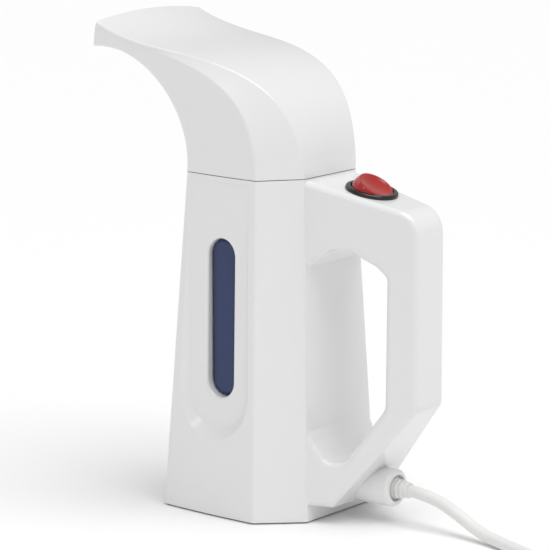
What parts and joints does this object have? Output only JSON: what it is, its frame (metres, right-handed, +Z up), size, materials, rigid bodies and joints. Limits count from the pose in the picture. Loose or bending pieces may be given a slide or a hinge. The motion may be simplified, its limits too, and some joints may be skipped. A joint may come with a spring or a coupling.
{
  "type": "garment steamer",
  "caption": "Hand-held garment steamer: tapered water body with a level window each side, loop handle, rocker switch, lift-off curved steam head and a coiled mains lead.",
  "frame": {"origin": "centre of the flat base that the steamer stands on", "axes": "+Z up along the body, -X towards the nozzle, +X towards the handle, Y across the body, -Y on the user's left"},
  "size_m": [0.3739, 0.1006, 0.2591],
  "materials": {
    "white_shell": "glossy white ABS, injection moulded",
    "grey_base": "fine spark-textured grey polypropylene",
    "steel": "zinc-plated steel",
    "blue_lens": "clear blue polished plastic",
    "seal_rubber": "moulded silicone rubber",
    "tank_plastic": "translucent polypropylene",
    "ring_plastic": "moulded acetal",
    "cast_aluminium": "die-cast aluminium, as cast",
    "element_sheath": "heat-tinted stainless tube",
    "heat_plastic": "heat-resistant moulded plastic",
    "thermostat_body": "phenolic moulding",
    "black_switch": "glossy black nylon",
    "red_rocker": "translucent red polycarbonate",
    "brass_terminals": "nickel-plated brass",
    "lead_insulation": "silicone-sleeved leads",
    "cord_vinyl": "soft white vinyl",
    "tie_fabric": "woven hook-and-loop strap",
    "nozzle_face": "heat-resistant moulded plastic"
  },
  "bodies": {
    "housing": {"left_housing": "white_shell", "right_housing": "white_shell", "base_cover": "grey_base", "base_screws": "steel", "housing_screws": "steel", "left_window": "blue_lens", "right_window": "blue_lens", "left_window_seal": "seal_rubber", "right_window_seal": "seal_rubber", "water_tank": "tank_plastic", "tank_seal": "seal_rubber", "neck_collar": "tank_plastic", "neck_retainer": "white_shell", "boiler_cup": "cast_aluminium", "boiler_seal": "seal_rubber", "boiler_screws": "steel", "heating_element": "element_sheath", "riser_pipe": "heat_plastic", "thermostat": "thermostat_body", "thermal_fuse": "steel", "switch_bezel": "black_switch", "switch_terminals": "brass_terminals", "supply_leads": "lead_insulation", "element_leads": "lead_insulation", "cord_gland": "cord_vinyl", "lead_sheath": "cord_vinyl", "power_cord": "cord_vinyl", "cord_coil": "cord_vinyl", "cord_tail": "cord_vinyl", "cord_tie": "tie_fabric", "plug_body": "cord_vinyl", "plug_blades": "brass_terminals", "neck_floor": "tank_plastic"},
    "rocker": {"switch_rocker": "red_rocker"},
    "ring": {"neck_ring": "ring_plastic"},
    "steam_head": {"head_shell": "white_shell", "nozzle_plate": "nozzle_face", "head_base": "heat_plastic", "head_seal": "seal_rubber", "head_screws": "steel", "steam_duct": "heat_plastic", "steam_manifold": "heat_plastic", "head_spigot": "heat_plastic"}
  },
  "joints": [
    {"name": "rocker_tip", "type": "hinge", "parent": "housing", "child": "rocker", "pos_m": [0.06609, 0, 0.17262], "axis": [0, -1, 0], "range_deg": [0, 24]},
    {"name": "head_turn", "type": "hinge", "parent": "housing", "child": "ring", "pos_m": [0.002, 0, 0.174], "axis": [0, 0, 1], "range_deg": [0, 35]},
    {"name": "head_lift", "type": "slide", "parent": "ring", "child": "steam_head", "axis": [0, 0, 1], "range_m": [0, 0.06]}
  ]
}
